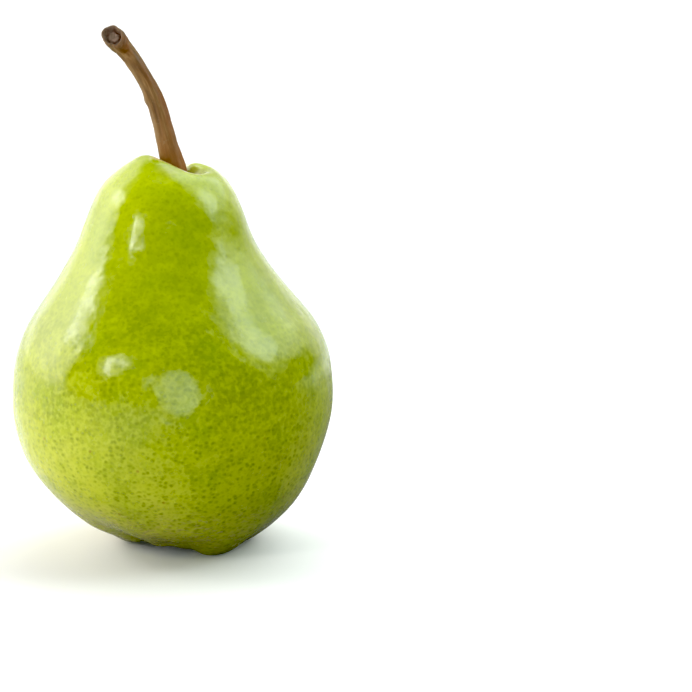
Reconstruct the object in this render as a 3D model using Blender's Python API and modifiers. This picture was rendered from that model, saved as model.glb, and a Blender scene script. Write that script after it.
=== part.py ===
"""A green winter pear that stands on its base, with its stem and the dried flower end under it.

Metres, +Z up, +X to the right and -Y to the front. The origin is on the surface that the pear
stands on, under the middle of its box. An azimuth of 0 degrees is +X, and -90 is the front.
"""

import math

import bmesh
import bpy
from mathutils import Matrix, Vector, noise

MM = 0.001
GAP = 0.3 * MM  # kept between pieces that touch
MERGE = 0.01 * MM  # points closer than this become one

# The fruit's outline before it is sculpted, as radius and height in mm, from the seat of the stem
# over the shoulder, down the neck and the belly, round the foot and up into the basin under it
OUTLINE = (
    (0.0, 92.0),
    (2.8, 92.3),
    (4.8, 93.5),
    (7.4, 94.2),
    (11.6, 93.3),
    (14.9, 90.4),
    (17.2, 86.4),
    (19.4, 80.6),
    (21.7, 74.9),
    (25.3, 68.8),
    (30.0, 62.4),
    (34.7, 56.2),
    (37.7, 49.4),
    (38.9, 41.0),
    (38.8, 33.0),
    (36.8, 25.0),
    (32.8, 17.0),
    (27.4, 10.2),
    (22.2, 5.2),
    (17.8, 1.8),
    (15.6, 0.45),
    (13.6, 0.0),
    (11.6, 0.45),
    (9.4, 1.9),
    (6.6, 4.6),
    (3.4, 6.4),
    (0.0, 6.8),
)
OUTLINE_STEPS = 2  # rings from one point of the outline to the next
FRUIT_SIDES = 64

# The middle of the fruit wanders to the side as it rises, so the fruit leans to the left
FOOT_OFFSET = 2.8 * MM
FOOT_TOP = 28.0 * MM
NECK_OFFSET = -1.2 * MM
NECK_BOTTOM = 46.0 * MM
NECK_TOP = 80.0 * MM
SEAT_OFFSET = 2.4 * MM  # from the middle of the neck to the seat of the stem
SEAT_REACH = 13.0 * MM
OVAL_SHARE = 0.012
OVAL_AZIMUTH = math.radians(35)
SWELL_SIZE = 30.0 * MM  # of the soft unevenness of the whole skin
SWELL_DEPTH = 0.45 * MM
SWELL_BOTTOM = 12.0 * MM  # it fades out below this, so that the lobes of the foot are level

# Folds that run out of the basin between the lobes of the foot: azimuth and width in degrees, depth in mm,
# and how far up the outside each one runs in mm
FOOT_FOLDS = (
    (-150, 20, 1.8, 8),
    (-131, 11, 2.6, 17),
    (-102, 24, 2.9, 11),
    (-80, 8, 0.8, 9),
    (-22, 16, 1.8, 13),
    (50, 15, 1.5, 15),
    (125, 17, 1.3, 14),
)
FOLD_INNER = 3.0 * MM
FOLD_OUTER = 11.0 * MM
PRESSED = 0.3 * MM  # how far the lobes of the foot are flattened where they rest

# Lobes and dips of the shoulder round the stem: azimuth and width in degrees, rise in mm
SHOULDER_LOBES = (
    (-145, 72, 3.8),
    (-20, 36, -2.4),
    (35, 30, 1.0),
    (80, 40, -1.6),
)
LOBE_INNER = 2.0 * MM
LOBE_PEAK = 5.5 * MM
LOBE_OUTER = 13.0 * MM

# A crease runs past the front of the stem and out to the right, with a sharp lip on its front side
CREASE_Y = -2.3 * MM
CREASE_DEPTH = 2.0 * MM
CREASE_FRONT = 0.9 * MM
CREASE_BACK = 2.8 * MM
CREASE_LEFT = -4.0 * MM
CREASE_START = -0.5 * MM
CREASE_FADE = 0.5 * MM
CREASE_END = 7.5 * MM
SHOULDER_BOTTOM = 80.0 * MM
SHOULDER_TOP = 90.0 * MM

# The stem's middle line from its root inside the fruit to its cut end: x, y, z and radius in mm
STEM_LINE = (
    (1.3, 0.6, 86.8, 2.3),
    (1.2, 0.5, 89.8, 2.5),
    (1.0, 0.4, 92.8, 3.0),
    (0.2, 0.2, 96.0, 2.8),
    (-0.8, 0.0, 100.0, 2.5),
    (-2.0, 0.0, 105.0, 2.25),
    (-3.5, -0.1, 110.2, 2.1),
    (-6.0, -0.4, 115.5, 1.95),
    (-9.0, -1.0, 120.3, 2.0),
    (-11.2, -1.9, 123.3, 2.15),
    (-12.6, -3.0, 125.1, 2.5),
    (-13.3, -4.0, 126.2, 2.6),
)
STEM_STEPS = 3
STEM_BEVEL = 7  # gives 18 sides
STEM_RIDGES = 5
STEM_RIDGE_DEPTH = 0.12 * MM
NODULE_HEIGHT = 110.6 * MM
NODULE_AZIMUTH = math.radians(180)
NODULE_RISE = 0.35 * MM
NODULE_SIZE = 1.5 * MM
NODULE_SPREAD = 0.8  # radians round the stem
CUT_ROUND = 0.5 * MM
CUT_STEPS = 2
ROUND_PROFILE = 0.5  # a bevel's profile that is part of a circle
CUT_RIM = 0.7 * MM
CUT_DISH = 0.4 * MM  # how far the middle of the cut end has shrunk in

# The calyx hangs in the basin: a root in the fruit, a disc, and a rim drawn out into pointed sepals
CALYX_SEAT = 5.8 * MM  # height of the disc's upper side
CALYX_THICKNESS = 0.8 * MM
CALYX_ROOT_RADIUS = 1.8 * MM
CALYX_ROOT_RISE = 2.4 * MM
CALYX_TUFT_RADIUS = 1.3 * MM
CALYX_TUFT_DROP = 0.9 * MM
CALYX_DISC_RADIUS = 2.8 * MM
CALYX_REACH = 7.0 * MM
SEPALS = 5
SEPAL_TURN = math.radians(-90)
SEPAL_NOTCH = 0.1  # share of a sepal's length that is left between two of them
SEPAL_DROOP = 2.5 * MM
SEPAL_UNEVEN = 0.5 * MM
DROOP_POWER = 1.5  # over 1, a sepal bends more towards its tip
SEPAL_RINGS = 5
CALYX_SIDES = 60
SOCKET_SIDES = 24

SHARP_ANGLE = math.radians(50)  # edges that turn more than this stay sharp

# Colour and roughness
MATERIALS = {
    "pear_skin": ((0.42, 0.55, 0.03), 0.32),
    "stem_bark": ((0.17, 0.10, 0.035), 0.75),
    "dried_calyx": ((0.07, 0.045, 0.025), 0.85),
}


def clear_scene():
    for obj in list(bpy.data.objects):
        bpy.data.objects.remove(obj, do_unlink=True)


def new_collection(name):
    collection = bpy.data.collections.new(name)
    bpy.context.scene.collection.children.link(collection)
    return collection


def principled(name):
    """A plain material with the colour and the roughness given for that name."""
    color, roughness = MATERIALS[name]
    material = bpy.data.materials.new(name)
    material.use_nodes = True
    shader = material.node_tree.nodes["Principled BSDF"]
    shader.inputs["Base Color"].default_value = (*color, 1.0)
    shader.inputs["Roughness"].default_value = roughness
    shader.inputs["Metallic"].default_value = 0.0
    return material


def smoothstep(low, high, value):
    """0 up to low, 1 from high on, and a smooth rise between them."""
    share = min(max((value - low) / (high - low), 0.0), 1.0)
    return share * share * (3.0 - 2.0 * share)


def bump(width, distance):
    """1 at no distance, falling smoothly to nearly 0 at twice the width."""
    return math.exp(-((distance / width) ** 2))


def turned_by(azimuth, centre):
    """The angle from centre to azimuth, from -pi to pi."""
    return (azimuth - centre + math.pi) % math.tau - math.pi


def bezier_point(start, leave, arrive, end, share):
    """The point that share of the way along a cubic curve."""
    first = start.lerp(leave, share)
    middle = leave.lerp(arrive, share)
    last = arrive.lerp(end, share)
    return first.lerp(middle, share).lerp(middle.lerp(last, share), share)


def smooth_line(points, steps, before=None, after=None):
    """Points on a smooth curve through the given ones. before and after lie past its ends."""
    near = [before or points[0], *points, after or points[-1]]
    line = [points[0]]
    for i in range(1, len(near) - 2):
        start, end = near[i], near[i + 1]
        reach = (end - start).length / 3
        leave = start + (end - near[i - 1]).normalized() * reach
        arrive = end - (near[i + 2] - start).normalized() * reach
        line += [bezier_point(start, leave, arrive, end, step / steps) for step in range(1, steps + 1)]
    return line


def evaluated_mesh(obj, name):
    """The object's mesh with its modifiers applied, in place of the object."""
    graph = bpy.context.evaluated_depsgraph_get()
    mesh = bpy.data.meshes.new_from_object(obj.evaluated_get(graph), depsgraph=graph)
    mesh.name = name
    bpy.data.objects.remove(obj, do_unlink=True)
    return mesh


def turned_mesh(name, profile, sides, collection):
    """A closed mesh turned round Z from (radius, height) points that run down its outer side."""
    outline = bpy.data.meshes.new(name + "_outline")
    edges = [(i, i + 1) for i in range(len(profile) - 1)]
    outline.from_pydata([(p.x, 0.0, p.y) for p in profile], edges, [])
    obj = bpy.data.objects.new(name + "_turning", outline)
    collection.objects.link(obj)
    screw = obj.modifiers.new("turn", "SCREW")
    screw.axis = "Z"
    screw.steps = screw.render_steps = sides
    screw.use_merge_vertices = True
    screw.merge_threshold = MERGE
    screw.use_smooth_shade = True
    bpy.context.view_layer.update()
    return evaluated_mesh(obj, name)


def place(name, mesh, material, collection):
    """The piece of that name, with its own material and smooth shading."""
    obj = bpy.data.objects.new(name, mesh)
    mesh.materials.clear()
    mesh.materials.append(principled(material))
    mesh.shade_smooth()
    mesh.set_sharp_from_angle(angle=SHARP_ANGLE)
    collection.objects.link(obj)
    return obj


def guide(name, mesh, cutters):
    """A cutter, which is no part of the pear."""
    obj = bpy.data.objects.new(name, mesh)
    cutters.objects.link(obj)
    obj.hide_render = True
    obj.display_type = "WIRE"
    return obj


def fold_foot(point, normal, azimuth, radius):
    """Presses the folds between the lobes of the foot into the skin."""
    depth = 0.0
    for centre, width, fold_depth, top in FOOT_FOLDS:
        across = bump(math.radians(width), turned_by(azimuth, math.radians(centre)))
        depth += fold_depth * MM * across * (1.0 - smoothstep(0.0, top * MM, point.z))
    return point - normal * depth * smoothstep(FOLD_INNER, FOLD_OUTER, radius)


def shape_shoulder(point, azimuth, radius):
    """Raises the lobes beside the stem and cuts the crease that runs past its front."""
    high = smoothstep(SHOULDER_BOTTOM, SHOULDER_TOP, point.z)
    ring = smoothstep(LOBE_INNER, LOBE_PEAK, radius) * (1.0 - smoothstep(LOBE_PEAK, LOBE_OUTER, radius))
    rise = 0.0
    for centre, width, height in SHOULDER_LOBES:
        rise += height * MM * ring * bump(math.radians(width), turned_by(azimuth, math.radians(centre)))
    behind = point.y - CREASE_Y
    width = CREASE_BACK if behind > 0 else CREASE_FRONT
    reach = smoothstep(CREASE_LEFT, CREASE_START, point.x)
    reach *= 1.0 - smoothstep(CREASE_FADE, CREASE_END, point.x)
    cut = CREASE_DEPTH * bump(width, behind) * reach
    return point + Vector((0.0, 0.0, high * (rise - cut)))


def lean(point, radius):
    """Moves the middle of each ring sideways, which makes the fruit lean."""
    side = FOOT_OFFSET * (1.0 - smoothstep(0.0, FOOT_TOP, point.z))
    side += NECK_OFFSET * smoothstep(NECK_BOTTOM, NECK_TOP, point.z)
    seat = smoothstep(SHOULDER_BOTTOM, SHOULDER_TOP, point.z) * (1.0 - smoothstep(0.0, SEAT_REACH, radius))
    return point + Vector((side + SEAT_OFFSET * seat, 0.0, 0.0))


def sculpted(point, normal):
    """Where a point of the turned fruit goes."""
    radius = math.hypot(point.x, point.y)
    azimuth = math.atan2(point.y, point.x)
    oval = OVAL_SHARE * math.cos(2 * (azimuth - OVAL_AZIMUTH))
    swell = SWELL_DEPTH * noise.noise(point / SWELL_SIZE) * smoothstep(0.0, SWELL_BOTTOM, point.z)
    outward = Vector((point.x, point.y, 0.0)) * oval
    moved = fold_foot(point, normal, azimuth, radius)
    moved = shape_shoulder(moved, azimuth, radius)
    return lean(moved + outward + normal * swell, radius)


def make_fruit(collection, cutters):
    stations = [Vector((radius, height)) * MM for radius, height in OUTLINE]
    over_top = Vector((-stations[1].x, stations[1].y))
    over_foot = Vector((-stations[-2].x, stations[-2].y))
    profile = smooth_line(stations, OUTLINE_STEPS, over_top, over_foot)
    mesh = turned_mesh("fruit", profile, FRUIT_SIDES, collection)
    normals = [vertex.normal.copy() for vertex in mesh.vertices]
    for vertex, normal in zip(mesh.vertices, normals):
        vertex.co = sculpted(vertex.co.copy(), normal)
    floor = min(vertex.co.z for vertex in mesh.vertices) + PRESSED
    for vertex in mesh.vertices:
        vertex.co.z = max(vertex.co.z - floor, 0.0)
    fruit = place("fruit", mesh, "pear_skin", collection)
    for cutter in cutters:
        cut = fruit.modifiers.new(cutter.name, "BOOLEAN")
        cut.operation = "DIFFERENCE"
        cut.solver = "EXACT"
        cut.object = cutter
    return fruit


def stem_tube(name, grow, collection):
    """The stem's round tube along its middle line, larger by grow all round and at its root."""
    stations = [Vector(values) * MM for values in STEM_LINE]
    stations[0].z -= grow
    line = smooth_line(stations, STEM_STEPS)
    curve = bpy.data.curves.new(name, "CURVE")
    curve.dimensions = "3D"
    curve.bevel_depth = MM
    curve.bevel_resolution = STEM_BEVEL
    curve.use_fill_caps = True
    spline = curve.splines.new("POLY")
    spline.points.add(len(line) - 1)
    for point, (x, y, z, radius) in zip(spline.points, line):
        point.co = (x, y, z, 1.0)
        point.radius = (radius + grow) / MM
    tube = bpy.data.objects.new(name + "_tube", curve)
    collection.objects.link(tube)
    bpy.context.view_layer.update()
    mesh = evaluated_mesh(tube, name)
    return mesh, line


def weld(mesh):
    """Joins the loose caps of a tube to its sides, and makes each cap one face."""
    shape = bmesh.new()
    shape.from_mesh(mesh)
    bmesh.ops.remove_doubles(shape, verts=shape.verts, dist=MERGE)
    bmesh.ops.dissolve_faces(shape, faces=[face for face in shape.faces if len(face.verts) == 3])
    bmesh.ops.recalc_face_normals(shape, faces=shape.faces)
    shape.to_mesh(mesh)
    shape.free()


def upper_cap(shape):
    """The face that closes the tube's upper end: the higher of the two with more than four corners."""
    caps = [face for face in shape.faces if len(face.verts) > 4]
    return max(caps, key=lambda face: face.calc_center_median().z)


def dish_cut_end(mesh):
    """Rounds the rim of the stem's cut end and sinks its middle."""
    shape = bmesh.new()
    shape.from_mesh(mesh)
    cap = upper_cap(shape)
    inward = -cap.normal.copy()
    bmesh.ops.bevel(
        shape,
        geom=cap.edges[:],
        offset=CUT_ROUND,
        segments=CUT_STEPS,
        profile=ROUND_PROFILE,
        affect="EDGES",
    )
    cap = upper_cap(shape)
    bmesh.ops.inset_individual(shape, faces=[cap], thickness=CUT_RIM)
    for vertex in cap.verts:
        vertex.co += inward * CUT_DISH
    shape.to_mesh(mesh)
    shape.free()


def make_stem(collection):
    mesh, line = stem_tube("stem", 0.0, collection)
    weld(mesh)
    for vertex in mesh.vertices:
        middle = min(line, key=lambda point: (point.xyz - vertex.co).length)
        outward = vertex.co - middle.xyz
        azimuth = math.atan2(outward.y, outward.x)
        rise = STEM_RIDGE_DEPTH * math.cos(STEM_RIDGES * azimuth)
        near = bump(NODULE_SIZE, vertex.co.z - NODULE_HEIGHT)
        rise += NODULE_RISE * near * bump(NODULE_SPREAD, turned_by(azimuth, NODULE_AZIMUTH))
        vertex.co += outward.normalized() * rise
    dish_cut_end(mesh)
    return place("stem", mesh, "stem_bark", collection)


def make_stem_cutter(cutters):
    mesh, _ = stem_tube("stem_socket", GAP, cutters)
    weld(mesh)
    return guide("stem_socket", mesh, cutters)


def basin_middle():
    """How far the lean of the fruit moves the middle of the basin."""
    seat = Vector((0.0, 0.0, CALYX_SEAT))
    return lean(seat, 0.0) - seat


def sepal_share(azimuth):
    """How far the calyx reaches at an azimuth: 1 at a sepal's tip and SEPAL_NOTCH between two."""
    sector = math.tau / SEPALS
    away = abs(turned_by(azimuth * SEPALS, SEPAL_TURN * SEPALS)) / SEPALS
    return SEPAL_NOTCH + (1.0 - SEPAL_NOTCH) * (1.0 - away / (sector / 2))


def make_calyx(collection):
    under = CALYX_SEAT - CALYX_THICKNESS
    root = CALYX_SEAT + CALYX_ROOT_RISE
    profile = [Vector((0.0, root)), Vector((CALYX_ROOT_RADIUS, root))]
    rings = [CALYX_ROOT_RADIUS, CALYX_DISC_RADIUS]
    length = CALYX_REACH - CALYX_DISC_RADIUS
    rings += [CALYX_DISC_RADIUS + length * step / SEPAL_RINGS for step in range(1, SEPAL_RINGS + 1)]
    profile += [Vector((radius, CALYX_SEAT)) for radius in rings]
    profile += [Vector((radius, under)) for radius in reversed(rings)]
    profile += [Vector((CALYX_TUFT_RADIUS, under - CALYX_TUFT_DROP / 2))]
    profile += [Vector((0.0, under - CALYX_TUFT_DROP))]
    mesh = turned_mesh("calyx", profile, CALYX_SIDES, collection)
    for vertex in mesh.vertices:
        azimuth = math.atan2(vertex.co.y, vertex.co.x)
        radius = math.hypot(vertex.co.x, vertex.co.y)
        if radius > CALYX_DISC_RADIUS:
            drawn = CALYX_DISC_RADIUS + (radius - CALYX_DISC_RADIUS) * sepal_share(azimuth)
            share = (drawn - CALYX_DISC_RADIUS) / length
            uneven = SEPAL_UNEVEN * math.sin(2 * azimuth)
            drop = (SEPAL_DROOP + uneven) * share**DROOP_POWER
            scale = drawn / radius
            vertex.co = (vertex.co.x * scale, vertex.co.y * scale, vertex.co.z - drop)
    mesh.transform(Matrix.Translation(basin_middle()))
    return place("calyx", mesh, "dried_calyx", collection)


def make_calyx_cutter(cutters):
    bpy.ops.mesh.primitive_cylinder_add(
        vertices=SOCKET_SIDES,
        radius=CALYX_ROOT_RADIUS + GAP,
        depth=2 * (CALYX_ROOT_RISE + GAP),
        location=basin_middle() + Vector((0.0, 0.0, CALYX_SEAT)),
    )
    cutter = bpy.context.active_object
    mesh = cutter.data
    mesh.transform(cutter.matrix_world)
    bpy.data.objects.remove(cutter, do_unlink=True)
    return guide("calyx_socket", mesh, cutters)


def stand_over_origin(fruit, others):
    """Hangs every piece on one empty, which puts the middle of the fruit's box over the origin."""
    base = bpy.data.objects.new("pear_base", None)
    fruit.users_collection[0].objects.link(base)
    for obj in (fruit, *others):
        obj.parent = base
    sides = [vertex.co.x for vertex in fruit.data.vertices]
    depths = [vertex.co.y for vertex in fruit.data.vertices]
    base.location = (-(min(sides) + max(sides)) / 2, -(min(depths) + max(depths)) / 2, 0.0)


def main():
    clear_scene()
    pear = new_collection("pear")
    cutters = new_collection("cutters")
    sockets = [make_stem_cutter(cutters), make_calyx_cutter(cutters)]
    fruit = make_fruit(pear, sockets)
    stand_over_origin(fruit, [make_stem(pear), make_calyx(pear), *sockets])


main()
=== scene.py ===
"""Looks for the green pear: finer skin, stem and calyx, their materials, and the studio round them.

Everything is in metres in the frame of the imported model: +Z up, +X to the right, -Y to the front,
and the origin on the floor under the middle of the pear. An azimuth of 0 degrees is +X.
"""

import math
from itertools import chain

import bmesh
import bpy
from mathutils import Matrix, Quaternion, Vector, noise

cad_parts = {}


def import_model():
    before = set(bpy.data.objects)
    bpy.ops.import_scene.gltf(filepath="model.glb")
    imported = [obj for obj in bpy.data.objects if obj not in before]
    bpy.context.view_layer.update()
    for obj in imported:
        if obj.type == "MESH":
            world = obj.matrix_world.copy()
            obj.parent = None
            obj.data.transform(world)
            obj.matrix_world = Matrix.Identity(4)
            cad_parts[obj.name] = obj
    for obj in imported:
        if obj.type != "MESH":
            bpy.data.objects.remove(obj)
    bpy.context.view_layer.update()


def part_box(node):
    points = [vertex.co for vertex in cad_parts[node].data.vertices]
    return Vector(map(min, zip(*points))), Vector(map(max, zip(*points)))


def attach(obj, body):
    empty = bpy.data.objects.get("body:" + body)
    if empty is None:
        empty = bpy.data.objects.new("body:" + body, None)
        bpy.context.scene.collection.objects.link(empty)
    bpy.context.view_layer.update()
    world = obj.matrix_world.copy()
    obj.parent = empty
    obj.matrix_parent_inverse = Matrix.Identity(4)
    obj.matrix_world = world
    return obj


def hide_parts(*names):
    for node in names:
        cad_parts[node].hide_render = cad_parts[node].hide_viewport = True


MM = 0.001
UP = Vector((0.0, 0.0, 1.0))

# The fruit's outline before it is sculpted, as radius and height in mm, from the seat of the stem
# over the shoulder, down the neck and the belly, round the foot and up into the basin under it
OUTLINE = (
    (0.0, 92.0),
    (2.8, 92.3),
    (4.8, 93.5),
    (7.4, 94.2),
    (11.6, 93.3),
    (14.9, 90.4),
    (17.2, 86.4),
    (19.4, 80.6),
    (21.7, 74.9),
    (25.3, 68.8),
    (30.0, 62.4),
    (34.7, 56.2),
    (37.7, 49.4),
    (38.9, 41.0),
    (38.8, 33.0),
    (36.8, 25.0),
    (32.8, 17.0),
    (27.4, 10.2),
    (22.2, 5.2),
    (17.8, 1.8),
    (15.6, 0.45),
    (13.6, 0.0),
    (11.6, 0.45),
    (9.4, 1.9),
    (6.6, 4.6),
    (3.4, 6.4),
    (0.0, 6.8),
)
OUTLINE_STEPS = 5  # rings from one point of the outline to the next
OUTLINE_EASES = 4  # passes that even out the outline's curvature
FRUIT_SIDES = 144
FRUIT_SUBDIVISIONS = 1

# The middle of the fruit wanders to the side as it rises, so the fruit leans to the left
FOOT_OFFSET = 2.8 * MM
FOOT_TOP = 28.0 * MM
NECK_OFFSET = -1.2 * MM
NECK_BOTTOM = 46.0 * MM
NECK_TOP = 80.0 * MM
SEAT_OFFSET = 2.4 * MM  # from the middle of the neck to the seat of the stem
SEAT_REACH = 13.0 * MM
OVAL_SHARE = 0.012
OVAL_AZIMUTH = math.radians(35)
SWELL_SIZE = 30.0 * MM  # of the soft unevenness of the whole skin
SWELL_DEPTH = 0.45 * MM
SWELL_BOTTOM = 12.0 * MM  # it fades out below this, so that the lobes of the foot are level
DENT_SIZE = 8.5 * MM  # of the small dents that break up the reflections
DENT_DEPTH = 0.15 * MM

# Folds that run out of the basin between the lobes of the foot: azimuth and width in degrees, depth in mm,
# and how far up the outside each one runs in mm
FOOT_FOLDS = (
    (-150, 20, 1.8, 8),
    (-131, 11, 2.6, 17),
    (-102, 24, 2.9, 11),
    (-80, 8, 0.8, 9),
    (-22, 16, 1.8, 13),
    (50, 15, 1.5, 15),
    (125, 17, 1.3, 14),
)
FOLD_INNER = 3.0 * MM  # there is no fold this near to the middle
FOLD_OUTER = 11.0 * MM  # and each has its whole depth from here on
PRESSED = 0.3 * MM  # how far the lobes of the foot are flattened where they rest

# Lobes and dips of the shoulder round the stem: azimuth and width in degrees, rise in mm. They begin at
# LOBE_INNER from the middle, are highest at LOBE_PEAK and end at LOBE_OUTER
SHOULDER_LOBES = (
    (-145, 72, 3.8),
    (-20, 36, -2.4),
    (35, 30, 1.0),
    (80, 40, -1.6),
)
LOBE_INNER = 2.0 * MM
LOBE_PEAK = 5.5 * MM
LOBE_OUTER = 13.0 * MM

# A crease runs past the front of the stem and out to the right, with a sharp lip on its front side. Its
# bottom is at CREASE_Y. To the right it deepens from CREASE_LEFT to CREASE_START, and it runs out from
# CREASE_FADE to CREASE_END
CREASE_Y = -2.3 * MM
CREASE_DEPTH = 2.0 * MM
CREASE_FRONT = 0.9 * MM  # how wide its front side is, and then its back
CREASE_BACK = 2.8 * MM
CREASE_LEFT = -4.0 * MM
CREASE_START = -0.5 * MM
CREASE_FADE = 0.5 * MM
CREASE_END = 7.5 * MM
SHOULDER_BOTTOM = 80.0 * MM  # lobes and crease fade out from the next height down to this one
SHOULDER_TOP = 90.0 * MM

# The stem's middle line from its root inside the fruit to its cut end: x, y, z and radius in mm
STEM_LINE = (
    (1.3, 0.6, 86.8, 2.3),
    (1.2, 0.5, 89.8, 2.5),
    (1.0, 0.4, 92.8, 3.0),
    (0.2, 0.2, 96.0, 2.8),
    (-0.8, 0.0, 100.0, 2.5),
    (-2.0, 0.0, 105.0, 2.25),
    (-3.5, -0.1, 110.2, 2.1),
    (-6.0, -0.4, 115.5, 1.95),
    (-9.0, -1.0, 120.3, 2.0),
    (-11.2, -1.9, 123.3, 2.15),
    (-12.6, -3.0, 125.1, 2.5),
    (-13.3, -4.0, 126.2, 2.6),
)
STEM_STEPS = 14
STEM_SIDES = 80
STEM_RIDGES = 5
STEM_RIDGE_DEPTH = 0.1 * MM
NODULE_HEIGHT = 110.6 * MM
NODULE_AZIMUTH = math.radians(180)
NODULE_RISE = 0.4 * MM
NODULE_SIZE = 1.3 * MM
NODULE_SPREAD = 0.8  # radians round the stem
ROOT_TOP = 94.0 * MM  # the bark is roughest below this, and as on the rest from ROOT_END up
ROOT_END = 99.0 * MM

# Furrows, fibres and wrinkles of the bark: depth, how many times as deep at the root, length along the stem,
# fineness round it, and a shift of the noise that keeps them apart
BARK_FORMS = (
    (0.14 * MM, 1.0, 9.0 * MM, 1.9, (0.0, 0.0)),
    (0.05 * MM, 3.0, 5.0 * MM, 6.5, (3.0, 0.0)),
    (0.05 * MM, 1.0, 0.9 * MM, 2.5, (0.0, 7.0)),
)

CUT_SLANT = 0.55  # how much further one side of the stem reaches, per length across it
CUT_BACK = Vector((-0.63, 0.73, 0.27))  # towards the side that reaches furthest
CUT_FADE = 9.0 * MM  # how far from the end the slant begins
CUT_UNEVEN = 0.12 * MM
CUT_UNEVEN_SIZE = 0.8 * MM
CUT_RIM_EVENER = 0.5  # how much less uneven the rim is than the middle
CUT_MIDDLE_RISE = 0.05 * MM

# The stem's cut end, from its rim to its middle: share of the radius, and height over the rim in mm
CUT_PROFILE = (
    (1.0, 0.0),
    (0.99, 0.25),
    (0.93, 0.5),
    (0.84, 0.6),
    (0.74, 0.4),
    (0.66, 0.0),
    (0.6, -0.35),
    (0.52, -0.35),
    (0.45, 0.0),
    (0.3, 0.15),
    (0.12, 0.05),
)

# The calyx hangs in the basin: a root in the fruit, a disc, and a rim drawn out into pointed sepals
CALYX_SEAT = 5.8 * MM  # height of the disc's upper side
CALYX_THICKNESS = 0.8 * MM
CALYX_ROOT_RADIUS = 1.8 * MM
CALYX_ROOT_RISE = 2.4 * MM
CALYX_TUFT_RADIUS = 1.3 * MM
CALYX_TUFT_DROP = 0.9 * MM
CALYX_DISC_RADIUS = 2.8 * MM
CALYX_REACH = 7.0 * MM
SEPALS = 5
SEPAL_TURN = math.radians(-90)  # azimuth of the first one
SEPAL_NOTCH = 0.1  # share of a sepal's length that is left between two of them
SEPAL_DROOP = 2.5 * MM
SEPAL_UNEVEN = 0.5 * MM
DROOP_POWER = 1.5  # over 1, a sepal bends more towards its tip
SEPAL_RINGS = 16
SEPAL_CURL = 0.35 * MM
SEPAL_CURL_SIZE = 1.6 * MM
SEPAL_LENGTH = CALYX_REACH - CALYX_DISC_RADIUS
CRINKLE = 0.08 * MM
CRINKLE_SIZE = 0.5 * MM
CALYX_SIDES = 200

# Dried threads stand in the middle of the calyx, the outer ones splayed and the inner ones upright
STAMENS = 17
STAMEN_LENGTH = 1.9 * MM
STAMEN_SHORTEST = 0.6  # as a share of the longest
STAMEN_RADIUS = 0.13 * MM
STAMEN_TAPER = 0.5
STAMEN_STEPS = 6
STAMEN_SIDES = 6
STAMEN_TURNS = 2  # rounds that their feet make in the tuft
STAMEN_RING = 0.8  # radius of the outermost feet, as a share of the tuft's
STAMEN_SINK = 0.3 * MM
STAMEN_SPREAD = 0.25  # of the most upright one, as a share of the widest one's
STAMEN_DROP = 1.1  # how far a thread with no spread reaches down, as a share of its length
STAMEN_LIFT = 0.7  # how much less the widest one does
STAMEN_BEND = 0.15  # sideways, as a share of its length
SPREAD_STRIDE = 0.618  # these two scatter the threads' spreads and lengths
LENGTH_STRIDE = 0.37

# The camera stands where the photograph's did: so far from the pear, and looking down by this angle
CAMERA_DISTANCE = 0.6
CAMERA_ELEVATION = math.radians(12)
CAMERA_LENS = 127.35
SENSOR_WIDTH = 36.0
AIM_RIGHT = 42.4 * MM  # the camera aims to the right of the pear, which is at the left of the picture
AIM_HEIGHT = 49.6 * MM
CAMERA_CLIP = (0.01, 100.0)  # how near and how far it sees, in metres
BLACK_LEVEL = (0.034, 0.034, 0.034)  # what the picture shows as black


def smoothstep(low, high, value):
    """0 up to low, 1 from high on, and a smooth rise between them."""
    share = min(max((value - low) / (high - low), 0.0), 1.0)
    return share * share * (3.0 - 2.0 * share)


def bump(width, distance):
    """1 at no distance, falling smoothly to nearly 0 at twice the width."""
    return math.exp(-((distance / width) ** 2))


def turned_by(azimuth, centre):
    """The angle from centre to azimuth, from -pi to pi."""
    return (azimuth - centre + math.pi) % math.tau - math.pi


def bezier_point(start, leave, arrive, end, share):
    """The point that share of the way along a cubic curve."""
    first = start.lerp(leave, share)
    middle = leave.lerp(arrive, share)
    last = arrive.lerp(end, share)
    return first.lerp(middle, share).lerp(middle.lerp(last, share), share)


def smooth_line(points, steps, before=None, after=None):
    """Points on a smooth curve through the given ones. before and after lie past its ends."""
    near = [before or points[0], *points, after or points[-1]]
    line = [points[0]]
    for i in range(1, len(near) - 2):
        start, end = near[i], near[i + 1]
        reach = (end - start).length / 3
        leave = start + (end - near[i - 1]).normalized() * reach
        arrive = end - (near[i + 2] - start).normalized() * reach
        line += [bezier_point(start, leave, arrive, end, step / steps) for step in range(1, steps + 1)]
    return line


def eased(line, passes):
    """The line with each inner point drawn towards its neighbours, which evens out its curvature."""
    for _ in range(passes):
        inner = [(line[i - 1] + line[i] * 2 + line[i + 1]) / 4 for i in range(1, len(line) - 1)]
        line = [line[0], *inner, line[-1]]
    return line


def ring_mesh(name, rings, top, bottom):
    """A closed mesh of rings with the same number of points each, between two single points."""
    sides = len(rings[0])
    points = [top, *(point for ring in rings for point in ring), bottom]
    faces = [(0, 1 + i, 1 + (i + 1) % sides) for i in range(sides)]
    for row in range(len(rings) - 1):
        first = 1 + row * sides
        for i in range(sides):
            after = (i + 1) % sides
            faces.append((first + i, first + sides + i, first + sides + after, first + after))
    last = 1 + (len(rings) - 1) * sides
    faces += [(len(points) - 1, last + (i + 1) % sides, last + i) for i in range(sides)]
    mesh = bpy.data.meshes.new(name)
    mesh.from_pydata(points, [], faces)
    mesh.shade_smooth()
    return mesh


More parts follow.
